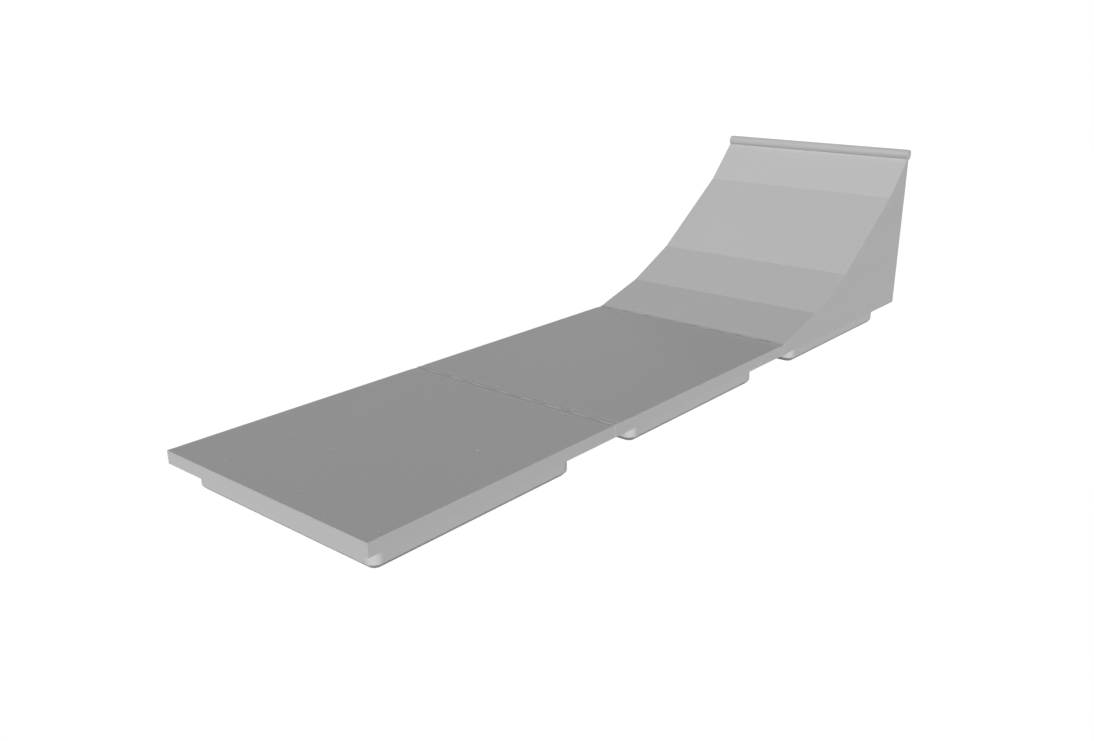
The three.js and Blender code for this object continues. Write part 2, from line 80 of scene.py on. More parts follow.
def grey(name, text, level):
    """A grey of one level in linear light, with a trace more blue."""
    blue = 1.004 * level
    return FloatVectorProperty(name=name, description=text, subtype="COLOR", size=3, min=0, max=1,
                               default=(level, level, blue))


class RampSizes(bpy.types.PropertyGroup):
    """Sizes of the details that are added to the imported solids."""

    arris: length("Arris", "Rounding of the sheets' and timbers' edges", 0.0004)
    screw_head: length("Screw head", "Radius of a countersunk head", 0.0038)
    screw_depth: length("Screw depth", "How far a head lies under the surface", 0.00012)
    screw_pitch: length("Screw pitch", "Largest distance between sheet screws", 0.21)
    hinge_barrel: length("Hinge barrel", "Outer radius of the hinges' knuckles", 0.0027)
    hinge_bore: length("Hinge bore", "Inner radius of the hinges' knuckles", 0.0017)
    hinge_leaf: length("Hinge leaf", "From the pin's middle to a leaf's edge", 0.025)
    hinge_gauge: length("Hinge gauge", "Thickness of a hinge leaf", 0.0012)
    hinge_drop: length("Hinge drop", "From the pin's middle down to the riding surface", 0.0008)
    hinge_screw_head: length("Hinge screw head", "Radius of a hinge screw's head", 0.003)
    hinge_knuckles: IntProperty(name="Hinge knuckles", description="Knuckles of one hinge", default=16, min=2)
    hinge_screws: IntProperty(name="Hinge screws", description="Screws in one hinge leaf", default=12, min=2)
    pod_corner: length("Pod corner", "Radius of the pods' upright corners", 0.034)
    pod_chamfer: length("Pod chamfer", "Slanted face along the pods' lower edge, measured level", 0.015)
    pod_crease: length("Pod crease", "How far the ends of that face are rounded", 0.0025)
    pod_wall: length("Pod wall", "Wall of the moulded pods", 0.005)
    pod_floor: length("Pod floor", "Floor of the moulded pods", 0.006)
    pod_flange: length("Pod flange", "Width of the flange turned in under the frame", 0.018)
    pod_flange_gauge: length("Pod flange gauge", "Thickness of that flange", 0.005)
    pod_rib: length("Pod rib", "Thickness of the ribs inside a pod", 0.004)
    boss: length("Screw post", "Radius of the screw posts inside a pod", 0.014)
    boss_bore: length("Screw well", "Radius of the well under each screw post", 0.009)
    boss_land: length("Screw land", "Material over a screw well", 0.012)
    groove_length: length("Groove length", "Length of the grooves under a pod", 0.47)
    groove_width: length("Groove width", "Width of those grooves", 0.026)
    groove_depth: length("Groove depth", "Depth of those grooves", 0.0025)
    groove_pitch: length("Groove pitch", "Sideways distance between those grooves", 0.09)
    tread: length("Tread groove", "Width of the grooves in a rubber strip", 0.004)
    coping_wall: length("Coping wall", "Wall of the coping tube and of its end discs", 0.0032)
    coping_lean: FloatProperty(name="Coping lean", description="Lean of the coping's screws from upright",
                               default=math.radians(14), subtype="ANGLE", unit="ROTATION")
    coping_screw: length("Coping screw", "Length of a coping screw below the tube's inside", 0.042)
    coping_sides: IntProperty(name="Coping sides", description="Sides of the round tube", default=96, min=12)


class RampColours(bpy.types.PropertyGroup):
    """Base colours of the finishes."""

    riding: grey("Riding sheet", "Composite sheet of the deck", 0.618)
    panel: grey("Transition sheet", "Composite sheet of the transition", 0.62)
    board: grey("Painted board", "Painted plywood of the sides", 0.605)
    timber: grey("Painted timber", "Painted framing timber", 0.62)
    pod: grey("Pod plastic", "Moulded plastic of the pods", 0.623)
    rubber: grey("Rubber", "Strips under the pods", 0.035)
    coping: grey("Coping", "Coated steel of the coping", 0.56)
    zinc: grey("Fittings", "Zinc-plated pins and screws", 0.36)
    # Painted shade: the knuckles' bare steel is set darker than the sheets, so the bright curve that the
    # lamps light on them reads as the deck's tone.
    knuckle: grey("Knuckles", "Worn steel of the hinges' knuckles", 0.41)
    screw: grey("Sheet screws", "Coated screws of the riding sheets and hinges", 0.57)


class RampStage(bpy.types.PropertyGroup):
    """Camera and lamps."""

    lens: FloatProperty(name="Lens", description="Focal length in millimetres", default=33.972, min=1)
    eye: FloatVectorProperty(
        name="Camera place", description="From the deck's front near corner, as shares of the ramp's width",
        default=(-1.5618, -1.9942, 1.3339))
    look: FloatVectorProperty(
        name="Camera direction", description="Where the camera points", default=(0.72177, 0.59344, -0.35619))
    shift: FloatVectorProperty(
        name="Camera shift", description="Sideways and upward shift of the lens", size=2,
        default=(-0.02134, 0.03398))
    key_strength: FloatProperty(
        name="Key", description="Strength of the lamp behind the camera", default=2.92, min=0)
    fill_strength: FloatProperty(
        name="Fill", description="Strength of the lamp behind the ramp", default=1.7, min=0)
    ambient: FloatProperty(name="Ambient", description="Light from all round", default=0.06, min=0)


def sizes():
    """The sizes that the panel shows."""
    return bpy.context.scene.ramp_sizes


def colours():
    """The colours that the panel shows."""
    return bpy.context.scene.ramp_colours


# ---- Shader expressions ----

class Value:
    """A number on a socket; sums, differences, products and absolute values add their Math nodes."""

    def __init__(self, nodes, socket):
        self.nodes, self.socket = nodes, socket

    def maths(self, operation, first, second):
        """A Math node on two numbers or values."""
        return self.nodes.node("Math", {0: first, 1: second}, {"operation": operation})

    def __add__(self, other):
        return self.maths("ADD", self, other)

    def __sub__(self, other):
        return self.maths("SUBTRACT", self, other)

    def __mul__(self, other):
        return self.maths("MULTIPLY", self, other)

    def __radd__(self, other):
        return self.maths("ADD", other, self)

    def __rsub__(self, other):
        return self.maths("SUBTRACT", other, self)

    def __rmul__(self, other):
        return self.maths("MULTIPLY", other, self)

    def __abs__(self):
        return self.maths("ABSOLUTE", self, 0)


class Nodes:
    """The nodes of a material or of the world."""

    def __init__(self, tree):
        self.tree = tree

    def node(self, kind, inputs=None, settings=None, output=0):
        """Adds a node: its settings first, then the values or links of its sockets."""
        made = self.tree.nodes.new("ShaderNode" + kind)
        for key, value in (settings or {}).items():
            setattr(made, key, value)
        for key, value in (inputs or {}).items():
            self.feed(made.inputs[key], value)
        return Value(self, made.outputs[output])

    def feed(self, socket, value):
        """Links a socket, or sets it."""
        if isinstance(value, Value):
            self.tree.links.new(value.socket, socket)
        else:
            socket.default_value = value


class Finish(Nodes):
    """A material in the making; a constant is named after its socket, with underscores for spaces."""

    def __init__(self, name, **constants):
        self.material = bpy.data.materials.new(name)
        self.material.use_nodes = True
        super().__init__(self.material.node_tree)
        self.shader = self.tree.nodes["Principled BSDF"]
        self.set("Specular IOR Level", 0.25)
        for key, value in constants.items():
            self.set(key.replace("_", " "), value)

    def set(self, key, value):
        """Feeds one socket of the shader."""
        self.feed(self.shader.inputs[key], value)

    def place(self):
        """The object's own coordinates, in metres."""
        return self.node("TexCoord", output="Object")

    def axes(self):
        """The same coordinates as three numbers."""
        split = self.node("SeparateXYZ", {0: self.place()})
        outputs = split.socket.node.outputs
        return [Value(self, outputs[i]) for i in range(3)]

    def noise(self, scale, detail=2.0, stretch=(1, 1, 1), roughness=0.5):
        """Noise from 0 to 1 about 0.5, with this many cells to a metre along each axis."""
        place = self.node("Mapping", {"Vector": self.place(), "Scale": stretch})
        inputs = {"Vector": place, "Scale": scale, "Detail": detail, "Roughness": roughness}
        return self.node("TexNoise", inputs)

    def ramp(self, value, low, high):
        """0 below low, 1 above high and a smooth step between."""
        inputs = {"Value": value, "From Min": low, "From Max": high}
        return self.node("MapRange", inputs, {"interpolation_type": "SMOOTHSTEP"})

    def blend(self, factor, first, second):
        """A colour between two colours, on the Mix node's sockets for colours."""
        return self.node("Mix", {0: factor, 6: first, 7: second}, {"data_type": "RGBA"}, output=2)

    def bump(self, height, distance):
        """Feeds the shader a surface raised by height times distance."""
        inputs = {"Height": height, "Distance": distance, "Strength": 1.0}
        self.set("Normal", self.node("Bump", inputs))


def shade(colour, factor):
    """A colour with its alpha, lightened or darkened."""
    return tuple(min(1.0, c * factor) for c in colour) + (1.0,)


def speckled(finish, colour, cloud, dark, light):
    """Base colour that drifts between two shades of one colour with a cloud from 0 to 1."""
    finish.set("Base Color", finish.blend(cloud, shade(colour, dark), shade(colour, light)))


# ---- Finishes ----

def riding_finish(name, colour):
    """Dense composite sheet: a faint orange peel, cloudy tone and long light streaks from wheels."""
    finish = Finish(name, Specular_IOR_Level=0.1)
    cloud = finish.noise(3.0, 4.0)
    speck = finish.noise(420.0, 1.0)
    streak = finish.ramp(finish.noise(1.0, 3.0, (1.1, 70.0, 1.1), 0.6), 0.56, 0.74)
    tone = 0.55 * cloud + 0.3 * speck + 0.15 * (1 - streak)
    speckled(finish, colour, tone, 0.97, 1.03)
    finish.set("Roughness", 0.56 + 0.16 * cloud - 0.1 * streak)
    finish.bump(0.7 * finish.noise(640.0, 2.0) + 0.3 * finish.noise(160.0, 1.0) - 0.25 * streak, 0.00012)
    return finish.material


def timber_finish(name, colour, along):
    """Painted softwood: the paint follows long, fine grain that runs along one axis."""
    finish = Finish(name)
    fine = tuple(3.0 if axis == along else 240.0 for axis in range(3))
    broad = tuple(0.8 if axis == along else 34.0 for axis in range(3))
    grain = finish.noise(1.0, 3.0, fine, 0.6)
    bands = finish.noise(1.0, 3.0, broad, 0.5)
    speckled(finish, colour, 0.5 * grain + 0.5 * bands, 0.94, 1.05)
    finish.set("Roughness", 0.6 + 0.14 * grain)
    finish.bump(0.6 * grain + 0.4 * bands, 0.00025)
    return finish.material


def board_finish():
    """Painted plywood: faint grain on the faces, thin veneers on the cut edges."""
    finish = Finish("side_board")
    grain = finish.noise(1.0, 4.0, (2.0, 1.0, 130.0), 0.6)
    bands = finish.noise(1.0, 3.0, (0.7, 1.0, 14.0), 0.5)
    veneer = finish.noise(1.0, 1.0, (1.0, 700.0, 1.0))
    speckled(finish, colours().board, 0.35 * grain + 0.45 * bands + 0.2 * veneer, 0.945, 1.05)
    finish.set("Roughness", 0.56 + 0.14 * grain)
    finish.bump(0.5 * grain + 0.2 * bands + 0.3 * veneer, 0.0002)
    return finish.material


def pod_finish():
    """Moulded plastic: a fine pebbled grain over slow waves left by the mould, and painted shade: the
    colour is darkened along the lower chamfer, which faces down, and in the grooves underneath."""
    finish = Finish("pod_plastic")
    pebble = finish.node("TexVoronoi", {"Vector": finish.place(), "Scale": 520.0}, {"feature": "SMOOTH_F1"})
    waves = finish.noise(5.0, 2.0)
    scuff = finish.ramp(finish.noise(1.0, 4.0, (14.0, 14.0, 90.0), 0.65), 0.6, 0.78)
    plastic, chamfer = colours().pod, sizes().pod_chamfer
    unshaded = finish.blend(0.7 * waves + 0.3 * scuff, shade(plastic, 0.965), shade(plastic, 1.035))
    height = finish.axes()[2] - float(corners("front_pod")[0][2])
    # Painted shade: a darker colour in the band from 1 mm above the pods' bottom up to the top of the lower
    # chamfer, where the face turns down and away from the lamps. The grooves underneath fall in this band
    # too. Scuffs vary its strength a little.
    painted_shade = finish.ramp(height, 0.001, 0.003) * (1 - finish.ramp(height, chamfer, 1.2 * chamfer))
    finish.set("Base Color", finish.blend(painted_shade * (0.85 + 0.15 * scuff), unshaded, shade(plastic, 0.54)))
    finish.set("Roughness", 0.46 + 0.1 * waves + 0.1 * scuff)
    finish.bump(0.25 * pebble + 0.75 * waves, 0.0006)
    return finish.material


def rubber_finish():
    """Dull rubber with a little dust."""
    finish = Finish("grip_rubber")
    dust = finish.noise(60.0, 4.0)
    speckled(finish, colours().rubber, dust, 0.7, 1.5)
    finish.set("Roughness", 0.78 + 0.16 * dust)
    finish.bump(finish.noise(900.0, 1.0), 0.0001)
    return finish.material


def coping_finish():
    """Coated tube: a satin coat, rubbed smoother and a touch brighter along its top by grinding."""
    finish = Finish("coping_steel", Metallic=0.25)
    _, across, height = finish.axes()
    crown = corners("coping")[1][2]
    top = finish.ramp(height, crown - 0.016, crown - 0.002)
    middle = 1 - finish.ramp(abs(across), 0.25, 0.44)
    scratches = finish.noise(1.0, 3.0, (260.0, 9.0, 260.0), 0.65)
    rubbed = top * middle * finish.ramp(scratches, 0.42, 0.62)
    speckled(finish, colours().coping, 0.6 * rubbed + 0.4 * finish.noise(30.0, 3.0), 0.95, 1.06)
    finish.set("Roughness", 0.46 + 0.1 * scratches - 0.16 * rubbed)
    finish.bump(0.6 * scratches + 0.4 * finish.noise(500.0, 1.0), 0.00008)
    return finish.material


def zinc_finish():
    """Zinc plate on steel: satin, with faint cloudy patches."""
    finish = Finish("fitting_steel", Metallic=0.35)
    patches = finish.noise(90.0, 3.0)
    speckled(finish, colours().zinc, patches, 0.94, 1.06)
    finish.set("Roughness", 0.38 + 0.18 * patches)
    finish.bump(finish.noise(700.0, 2.0), 0.00005)
    return finish.material


def coated_finish():
    """A matt coat on a small steel piece, close to the colour of the sheet that it sits in."""
    finish = Finish("sheet_screw", Specular_IOR_Level=0.1)
    patches = finish.noise(90.0, 3.0)
    speckled(finish, colours().screw, patches, 0.97, 1.03)
    finish.set("Roughness", 0.6 + 0.12 * patches)
    return finish.material


def hinge_finish(name):
    """A coated hinge whose knuckles show bare steel, kept darker than the coat as painted shade, so that the
    light caught on their curve reads no brighter than the deck: the coat gives way within a knuckle's radius
    of the pin's middle."""
    finish = Finish(name, Specular_IOR_Level=0.1)
    middle, reach = middle_of(f"{name}_pin"), sizes().hinge_barrel
    place = finish.axes()
    away = [place[axis] - float(middle[axis]) for axis in (0, 2)]
    # Painted shade: within a knuckle's radius of the pin the colour turns to the darker knuckle steel, set
    # dark to damp the light caught on the knuckles' curve.
    coat = finish.ramp(away[0] * away[0] + away[1] * away[1], (1.02 * reach) ** 2, (1.12 * reach) ** 2)
    patches = finish.noise(90.0, 3.0)
    tone = [finish.blend(patches, shade(colour, 0.97), shade(colour, 1.03))
            for colour in (colours().knuckle, colours().riding)]
    finish.set("Base Color", finish.blend(coat, *tone))
    finish.set("Roughness", 0.62 + 0.12 * patches)
    finish.bump(finish.noise(700.0, 2.0), 0.00004)
    return finish.material


FINISHES = {}


def finish_for(slot):
    """The material of a slot, made once."""
    makers = {
        "riding_sheet": lambda: riding_finish("riding_sheet", colours().riding),
        "transition_sheet": lambda: riding_finish("transition_sheet", colours().panel),
        "side_board": board_finish,
        "framing_timber": lambda: timber_finish("framing_timber", colours().timber, 1),
        "framing_timber_long": lambda: timber_finish("framing_timber_long", colours().timber, 0),
        "pod_plastic": pod_finish,
        "grip_rubber": rubber_finish,
        "coping_steel": coping_finish,
        "fitting_steel": zinc_finish,
        "sheet_screw": coated_finish,
        "front_hinge": lambda: hinge_finish("front_hinge"),
        "rear_hinge": lambda: hinge_finish("rear_hinge"),
    }
    if slot not in FINISHES:
        FINISHES[slot] = makers[slot]()
    return FINISHES[slot]


# ---- Meshes ----

def corners(node):
    """A node's lowest and highest corners as arrays, in metres."""
    low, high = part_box(node)
    return np.array(low), np.array(high)


def middle_of(node):
    """The middle of a node's box."""
    low, high = corners(node)
    return (low + high) / 2


def paint(piece, slot):
    """Gives a piece one material in all its slots."""
    piece.data.materials.clear()
    piece.data.materials.append(finish_for(slot))


def build_mesh(name, points, faces):
    """An object from an array of points and lists of corner numbers, its faces turned outwards."""
    mesh = bpy.data.meshes.new(name)
    mesh.from_pydata(np.asarray(points).tolist(), [], [list(map(int, face)) for face in faces])
    piece = bpy.data.objects.new(name, mesh)
    bpy.context.scene.collection.objects.link(piece)
    edit_mesh(piece, lambda bm: bmesh.ops.recalc_face_normals(bm, faces=bm.faces))
    return piece


def edit_mesh(piece, change):
    """Applies one bmesh change to a piece."""
    bm = bmesh.new()
    bm.from_mesh(piece.data)
    change(bm)
    bm.to_mesh(piece.data)
    bm.free()


def apply_modifiers(piece):
    """Replaces a piece's mesh with the result of its modifiers."""
    graph = bpy.context.evaluated_depsgraph_get()
    result = bpy.data.meshes.new_from_object(piece.evaluated_get(graph))
    piece.modifiers.clear()
    piece.data = result
    return piece


def smooth(piece, degrees):
    """Shades a piece smooth, with edges sharper than this kept crisp and its flats truly flat."""
    piece.data.shade_smooth()
    piece.data.set_sharp_from_angle(angle=math.radians(degrees))
    weigh = piece.modifiers.new("weigh", "WEIGHTED_NORMAL")
    weigh.keep_sharp = True
    apply_modifiers(piece)


def combine(piece, tool, operation):
    """Joins a tool to a piece or cuts it out; the tool is used up."""
    change = piece.modifiers.new("combine", "BOOLEAN")
    change.operation, change.object, change.solver = operation, tool, "EXACT"
    apply_modifiers(piece)
    bpy.data.objects.remove(tool)
    return piece


def stack_faces(rows, columns, times=1):
    """Corner numbers of closed solids, each a stack of rings: quads between neighbouring rings and a
    cap on the first and the last. Each solid's numbers are raised by the points before it."""
    row, column = np.arange(rows - 1)[:, None], np.arange(columns)
    beside = (column + 1) % columns
    quads = [row * columns + column, row * columns + beside,
             (row + 1) * columns + beside, (row + 1) * columns + column]
    faces = [*np.stack(quads, -1).reshape(-1, 4), column, (rows - 1) * columns + column]
    return [face + rows * columns * number for number in range(times) for face in faces]


def loft(name, rings):
    """A closed solid through a stack of rings, capped at both ends."""
    rings = np.asarray(rings)
    return build_mesh(name, rings.reshape(-1, 3), stack_faces(*rings.shape[:2]))


def turned(name, profile, sides, normal, places, star=1.0):
    """Turned solids at many places: a profile of radius and height is carried round an axis that lies
    along a normal. Star scales alternate points of the first two rows, for a driver's recess."""
    angle = np.linspace(0, 2 * np.pi, sides, endpoint=False)
    radius, height = [np.repeat(column[:, None], sides, 1) for column in profile.T]
    radius[:2, ::2] *= star
    points = np.stack([radius * np.cos(angle), radius * np.sin(angle), height], -1).reshape(-1, 3)
    turn = np.array(Vector(UP).rotation_difference(Vector(normal)).to_matrix())
    moved = np.asarray(places)[:, None, :] + points @ turn.T
    return build_mesh(name, moved.reshape(-1, 3), stack_faces(len(profile), sides, len(places)))


def finished(piece, slot, body, *nodes, degrees=32, finish=None):
    """Smooths and paints a piece, and says what it rides on and which nodes it stands for."""
    smooth(piece, degrees)
    paint(piece, finish or slot)
    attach(piece, body)
    if nodes:
        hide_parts(*nodes)
    return piece


def ease_edges(piece):
    """Adds a modifier that rounds a piece's sharp edges to the arris."""
    ease = piece.modifiers.new("arris", "BEVEL")
    ease.width, ease.segments = sizes().arris, 2
    ease.limit_method, ease.angle_limit = "ANGLE", math.radians(40)


def softened(node):
    """A copy of a node with its loose triangles merged, flat faces rejoined and its edges eased."""
    source = frame["nodes"][node]
    piece = bpy.data.objects.new(node + "_dressed", source.data.copy())
    bpy.context.scene.collection.objects.link(piece)

    def tidy(bm):
        bmesh.ops.remove_doubles(bm, verts=bm.verts, dist=MERGE)
        bmesh.ops.dissolve_limit(bm, angle_limit=math.radians(0.5), verts=bm.verts, edges=bm.edges)

    edit_mesh(piece, tidy)
    ease_edges(piece)
    return apply_modifiers(piece)


# ---- Screws ----

def screw_profile(head, depth):
    """Radius and height of a countersunk screw's turned outline, from the recess out and down."""
    return np.array([[0.26 * head, -depth - 0.0011], [0.30 * head, -depth], [0.86 * head, -depth],
                     [head, -depth - 0.0002], [0.45 * head, -depth - 0.55 * head],
                     [0.42 * head, -depth - 0.008]])


def add_screws(name, places, normal, body, head, slot="fitting_steel", finish="sheet_screw"):
    """One piece holding a set of countersunk screws whose heads face along a normal."""
    profile = screw_profile(head, sizes().screw_depth)
    piece = turned(name, profile, SIDES["screw"], normal, places, star=1.35)
    return finished(piece, slot, body, finish=finish)


def countersinks(places, normal, head):
    """Cutters for countersunk holes at those places: cones that start a little above the surface and
    end in a short hole."""
    above, depth = 0.0005, 0.0052
    profile = np.array([[1.04 * head + above, above], [0.5 * head, -0.58 * head], [0.48 * head, -depth]])
    return turned("countersinks", profile, SIDES["countersink"], normal, places)


def spaced(start, end, pitch):
    """Evenly spaced stations from start to end, no further apart than pitch."""
    count = max(2, int(math.ceil(abs(end - start) / pitch)) + 1)
    return np.linspace(start, end, count)


def cross_timbers(section):
    """The timbers that run across a deck: four joists and the two end rails."""
    joists = [f"{section}_joist_{i}" for i in (1, 2, 3, 4)]
    return joists + [f"{section}_end_rail_{end}" for end in ("front", "rear")]


def deck_screw_places(section):
    """Where a deck's sheet is screwed: along both side rails and across every rail and joist, clear
    of the hinges' leaves."""
    low, high = corners(f"{section}_sheet")
    top, edge, hinge_reach = high[2], 0.055, 0.03
    rails = [middle_of(f"{section}_side_rail_{side}")[1] for side in ("near", "far")]
    along = spaced(low[0] + edge, high[0] - edge, sizes().screw_pitch)
    places = [(x, y, top) for y in rails for x in along]
    inner = spaced(*rails, sizes().screw_pitch)[1:-1]
    for timber in cross_timbers(section):
        x = middle_of(timber)[0]
        if "rail_rear" in timber:
            x = min(x, high[0] - hinge_reach)
        if "rail_front" in timber and section == "middle":
            x = max(x, low[0] + hinge_reach)
        places += [(x, y, top) for y in inner]
    return places


def panel_plane(node):
    """A panel's riding face from its largest upward triangle: the start and end of its centre line,
    its uphill run and its normal."""
    mesh = frame["nodes"][node].data
    top = max((face for face in mesh.polygons if face.normal.z > 0), key=lambda face: face.area)
    normal = np.array(top.normal)
    run = np.array([normal[2], 0, -normal[0]])
    points = np.empty(3 * len(mesh.vertices), np.float32)
    mesh.vertices.foreach_get("co", points)
    points = points.reshape(-1, 3).astype(float)
    rise = points @ normal - np.array(top.center) @ normal
    face = points[abs(rise) < 10 * MERGE]
    reach = face @ run
    flat = np.array([1, 0, 1])
    return face[reach.argmin()] * flat, face[reach.argmax()] * flat, run, normal


# ---- Operators ----

class RampOperator:
    """What the ramp's operators share."""

    bl_options = {"REGISTER", "UNDO"}


class RAMP_OT_sheets(RampOperator, bpy.types.Operator):
    """Dress the deck's riding sheets: eased edges, countersunk holes and their screws"""

    bl_idname = "ramp.sheets"
    bl_label = "Riding sheets"

    def execute(self, context):
        for section, body in DECKS.items():
            node = f"{section}_sheet"
            piece = softened(node)
            places = deck_screw_places(section)
            combine(piece, countersinks(places, UP, sizes().screw_head), "DIFFERENCE")
            finished(piece, "riding_sheet", body, node, degrees=20)
            add_screws(f"{section}_sheet_screws", places, UP, body, sizes().screw_head)
        return {"FINISHED"}


class RAMP_OT_transition(RampOperator, bpy.types.Operator):
    """Dress the transition's panels: eased edges, countersunk holes and their screws"""

    bl_idname = "ramp.transition"
    bl_label = "Transition panels"

    def execute(self, context):
        # Rows of screws keep clear of the hinge's leaf, of the creases and of the coping.
        hinge_margin, crease_margin, coping_margin, side_pitch = 0.038, 0.014, 0.03, 0.16
        side = middle_of("template_far")[1]
        inner = spaced(-side, side, sizes().screw_pitch)
        for node in PANELS:
            piece = softened(node)
            start, end, run, normal = panel_plane(node)
            reach = np.linalg.norm(end - start)
            first = hinge_margin if node == PANELS[0] else crease_margin
            last = reach - (coping_margin if node == PANELS[-1] else crease_margin)
            rows = [first, last] + ([reach / 2] if node == LONG_PANEL else [])
            places = [start + run * row + [0, y, 0] for row in rows for y in inner]
            for row in spaced(first, last, side_pitch)[1:-1]:
                places += [start + run * row + [0, y, 0] for y in (-side, side)]
            combine(piece, countersinks(places, normal, sizes().screw_head), "DIFFERENCE")
            finished(piece, "transition_sheet", QUARTER, node, degrees=20)
            add_screws(f"{node}_screws", places, normal, QUARTER, sizes().screw_head)
        return {"FINISHED"}


def side_screws(name, timbers, side_node, body, slot):
    """Painted-over screws through both sides into the ends of the cross timbers: in their middles, but
    near the lower rear corner of the coping's rail, which the tube cuts into."""
    middles = np.array([middle_of(timber) for timber in timbers])
    if "coping_rail" in timbers:
        low, high = corners("coping_rail")
        inset = 0.02
        middles[timbers.index("coping_rail")] = [high[0] - inset, 0, low[2] + inset]
    outer = corners(side_node)[1][1]
    for side, word in ((-1, "near"), (1, "far")):
        places = middles * [1, 0, 1] + [0, side * outer, 0]
        add_screws(f"{name}_side_screws_{word}", places, (0, side, 0), body, sizes().screw_head, slot, slot)


class RAMP_OT_timbers(RampOperator, bpy.types.Operator):
    """Paint the boards and timbers, ease their edges and screw them together"""

    bl_idname = "ramp.timbers"
    bl_label = "Boards and timbers"

    def execute(self, context):
        for entry in frame["record"]["subparts"]:
            node, slot = entry["node"], entry["material_slot"]
            if slot not in ("side_board", "framing_timber"):
                continue
            piece = frame["nodes"][node]
            paint(piece, "framing_timber_long" if "side_rail" in node else slot)
            piece.modifiers.new("weld", "WELD").merge_threshold = MERGE
            ease_edges(piece)
        for section, body in DECKS.items():
            side_screws(section, cross_timbers(section), f"{section}_side_rail_far", body, "framing_timber")
        timbers = [f"{kind}_{i}" for kind in ("transition_joist", "base_rail") for i in (1, 2, 3, 4)]
        timbers += ["foot_rail", "back_rail_low", "back_rail_middle", "coping_rail"]
        side_screws("quarter", timbers, "template_far", QUARTER, "side_board")
        return {"FINISHED"}


def rounded_ring(centre, length_x, width_y, radius, z, per_corner=14):
    """A ring of points round a rectangle with round corners: each corner is a quarter circle."""
    quarter = np.linspace(0, np.pi / 2, per_corner)
    angle = np.concatenate([quarter + turn * np.pi / 2 for turn in range(4)])
    side_x = np.repeat([1, -1, -1, 1], per_corner)
    side_y = np.repeat([1, 1, -1, -1], per_corner)
    x = centre[0] + side_x * (length_x / 2 - radius) + radius * np.cos(angle)
    y = centre[1] + side_y * (width_y / 2 - radius) + radius * np.sin(angle)
    return np.stack([x, y, np.full_like(x, z)], -1)


def rectangle_ring(low, high, z, inset=0.0):
    """Four corners of a level rectangle, drawn in by an inset."""
    return [[low[0] + inset, low[1] + inset, z], [high[0] - inset, low[1] + inset, z],
            [high[0] - inset, high[1] - inset, z], [low[0] + inset, high[1] - inset, z]]


def inner_chamfer(wall, floor):
    """The lower chamfer of the pod's form moved inwards by a wall and up by a floor, so that the
    slanted wall keeps the same thickness."""
    return sizes().pod_chamfer + (math.sqrt(2) - 1) * wall - floor


def bent(path, points=6):
    """A path with its marked corners rounded: each corner with a reach becomes a parabola of several
    points that starts and ends that far along its two sides."""
    made = []
    for number, (x, z, reach) in enumerate(path):
        corner = np.array([x, z])
        if not reach:
            made.append(corner)
            continue
        ends = [np.array(path[number + step][:2]) for step in (-1, 1)]
        before, after = [corner + reach * (end - corner) / np.linalg.norm(end - corner) for end in ends]
        for t in np.linspace(0, 1, points):
            made.append((1 - t) ** 2 * before + 2 * t * (1 - t) * corner + t ** 2 * after)
    return made


def pod_shell(section):
    """The moulded tub: a wall's section carried round a rectangle with round corners. The section
    runs up the inside, over the flange and the rim, down the outside and along the lower chamfer."""
    s = sizes()
    low, high = corners(f"{section}_pod")
    centre, span = (low + high) / 2, high - low
    inner, floor = inner_chamfer(s.pod_wall, s.pod_floor), low[2] + s.pod_floor
    flange_under, flange_edge = high[2] - s.pod_flange_gauge, s.pod_wall + s.pod_flange
    hem, rim, tightest = 0.004, 0.0012, 0.002
    path = [(s.pod_wall + inner + hem, floor, 0), (s.pod_wall + inner, floor, s.pod_crease),
            (s.pod_wall, floor + inner, s.pod_crease), (s.pod_wall, flange_under, 0),
            (flange_edge, flange_under, 0), (flange_edge, high[2], 0), (0, high[2], rim),
            (0, low[2] + s.pod_chamfer, s.pod_crease), (s.pod_chamfer, low[2], s.pod_crease),
            (s.pod_chamfer + hem, low[2], 0)]
    rings = [rounded_ring(centre, *(span[:2] - 2 * inset), max(s.pod_corner - inset, tightest), z)
             for inset, z in bent(path)]
    return loft(f"{section}_pod_dressed", rings)


def pod_inside(section):
    """What is joined to the tub's inside: two ribs each way and four screw posts, all with draft."""
    s = sizes()
    low, high = corners(f"{section}_pod")
    centre, span = (low + high) / 2, high - low
    shy, draft, lower_by = 0.0005, 0.0007, 0.001
    floor, top = low[2] + s.pod_floor / 2, high[2] - shy
    half, sink = s.pod_rib / 2, s.pod_wall / 2
    cut = inner_chamfer(sink, s.pod_floor / 2)
    joined = []
    for side in (-1, 1):
        x, y = centre[0] + side * span[0] / 6, centre[1] + side * span[1] / 6
        cross = ([x - half, low[1] + sink], [x + half, high[1] - sink], [0, 1], 0)
        along = ([low[0] + sink, y - half], [high[0] - sink, y + half], [1, 0], lower_by)
        for start, end, way, lower in (cross, along):
            short = (cut + lower) * np.array(way)
            joined.append(loft("rib", [rectangle_ring(start + short, end - short, floor - lower),
                                       rectangle_ring(start, end, floor + cut),
                                       rectangle_ring(start, end, top - lower, draft)]))
    foot, neck, neck_height = s.boss + 0.003, s.boss + 0.0008, 0.0062
    post = np.array([[foot, 0], [neck, neck_height], [s.boss, top - floor - shy]])
    joined.append(turned("posts", post, SIDES["post"], UP, post_places(section, floor)))
    return joined


def post_places(section, z):
    """The middles of a pod's four screw posts, at a height."""
    low, high = corners(f"{section}_pod")
    centre, span = (low + high) / 2, high - low
    return [[centre[0] + end * span[0] / 6, centre[1] + side * span[1] / 3, z]
            for end in (-1, 1) for side in (-1, 1)]


